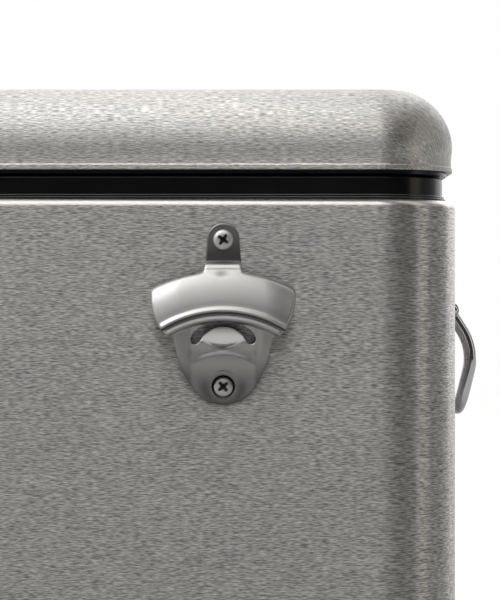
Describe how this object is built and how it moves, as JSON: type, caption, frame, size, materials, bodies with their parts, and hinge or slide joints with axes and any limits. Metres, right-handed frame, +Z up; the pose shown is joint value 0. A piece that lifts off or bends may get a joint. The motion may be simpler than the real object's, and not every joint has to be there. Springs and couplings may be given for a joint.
{
  "type": "insulated cooler chest",
  "caption": "Steel-clad insulated drinks cooler chest: hinged crowned lid, swinging bail handles, pull latch, screw-cap drain and wall-type bottle opener.",
  "frame": {"origin": "on the floor under the middle of the chest", "axes": "+X along the chest to the opener's end, +Z up, the latch and opener face -Y"},
  "size_m": [0.6438, 0.4332, 0.4069],
  "materials": {
    "brushed_steel": "horizontal brushed stainless sheet",
    "opener_steel": "plated pressing, bright and slightly worn",
    "chrome_trim": "polished rod",
    "plate_steel": "satin pressed plate",
    "screw_steel": "bright pan-head screws",
    "galvanised_steel": "galvanised strip, hidden",
    "black_plastic": "black moulded plastic",
    "tub_plastic": "white moulded tub",
    "black_rubber": "black rubber",
    "foam_core": "closed-cell foam, hidden"
  },
  "bodies": {
    "chest": {"base_pan": "black_plastic", "foot_front_left": "black_rubber", "foot_front_right": "black_rubber", "foot_rear_left": "black_rubber", "foot_rear_right": "black_rubber", "foot_screws": "screw_steel", "base_screws": "screw_steel", "body_shell": "brushed_steel", "insulation_walls": "foam_core", "insulation_floor": "foam_core", "inner_liner": "tub_plastic", "top_rim": "black_plastic", "opener": "opener_steel", "opener_screws": "screw_steel", "opener_backing": "galvanised_steel", "handle_plate_left": "plate_steel", "handle_plate_right": "plate_steel", "handle_screws_left": "screw_steel", "handle_screws_right": "screw_steel", "handle_backing_left": "galvanised_steel", "handle_backing_right": "galvanised_steel", "latch_keeper": "plate_steel", "keeper_screws": "screw_steel", "keeper_backing": "galvanised_steel", "hinge_body_leaf_left": "plate_steel", "hinge_body_leaf_right": "plate_steel", "hinge_screws_body": "screw_steel", "hinge_pin_left": "chrome_trim", "hinge_pin_right": "chrome_trim", "hinge_backing_body_left": "galvanised_steel", "hinge_backing_body_right": "galvanised_steel", "drain_spout": "black_plastic", "drain_nut": "black_plastic", "drain_washer": "black_rubber"},
    "lid": {"lid_shell": "brushed_steel", "lid_pan": "black_plastic", "lid_insulation": "foam_core", "lid_gasket": "black_rubber", "hinge_lid_leaf_left": "plate_steel", "hinge_lid_leaf_right": "plate_steel", "hinge_screws_lid": "screw_steel", "hinge_backing_lid_left": "galvanised_steel", "hinge_backing_lid_right": "galvanised_steel", "latch_bracket": "plate_steel", "latch_bracket_screws": "screw_steel", "latch_backing": "galvanised_steel", "latch_pin": "chrome_trim"},
    "latch_lever": {"latch_lever": "plate_steel"},
    "handle_left": {"handle_left": "chrome_trim"},
    "handle_right": {"handle_right": "chrome_trim"},
    "drain_seal": {"drain_seal": "black_rubber"},
    "drain_cap": {"drain_cap": "black_plastic"}
  },
  "joints": [
    {"name": "lid_hinge", "type": "hinge", "parent": "chest", "child": "lid", "pos_m": [0, 0.2042, 0.352], "axis": [-1, 0, 0], "range_deg": [0, 100]},
    {"name": "latch_swing", "type": "hinge", "parent": "lid", "child": "latch_lever", "pos_m": [0, -0.206, 0.366], "axis": [-1, 0, 0], "range_deg": [0, 80]},
    {"name": "handle_right_swing", "type": "hinge", "parent": "chest", "child": "handle_right", "pos_m": [0.306, 0, 0.29], "axis": [0, -1, 0], "range_deg": [0, 95]},
    {"name": "handle_left_swing", "type": "hinge", "parent": "chest", "child": "handle_left", "pos_m": [-0.306, 0, 0.29], "axis": [0, 1, 0], "range_deg": [0, 95]},
    {"name": "drain_travel", "type": "slide", "parent": "chest", "child": "drain_seal", "axis": [-1, 0, 0], "range_m": [0, 0.008]},
    {"name": "drain_turn", "type": "hinge", "parent": "drain_seal", "child": "drain_cap", "pos_m": [-0.32, 0.11, 0.062], "axis": [-1, 0, 0], "range_deg": [0, 720]}
  ],
  "couplings": [
    {"joint": "drain_travel", "follows": "drain_turn", "m_per_rad": 0.0006366}
  ]
}
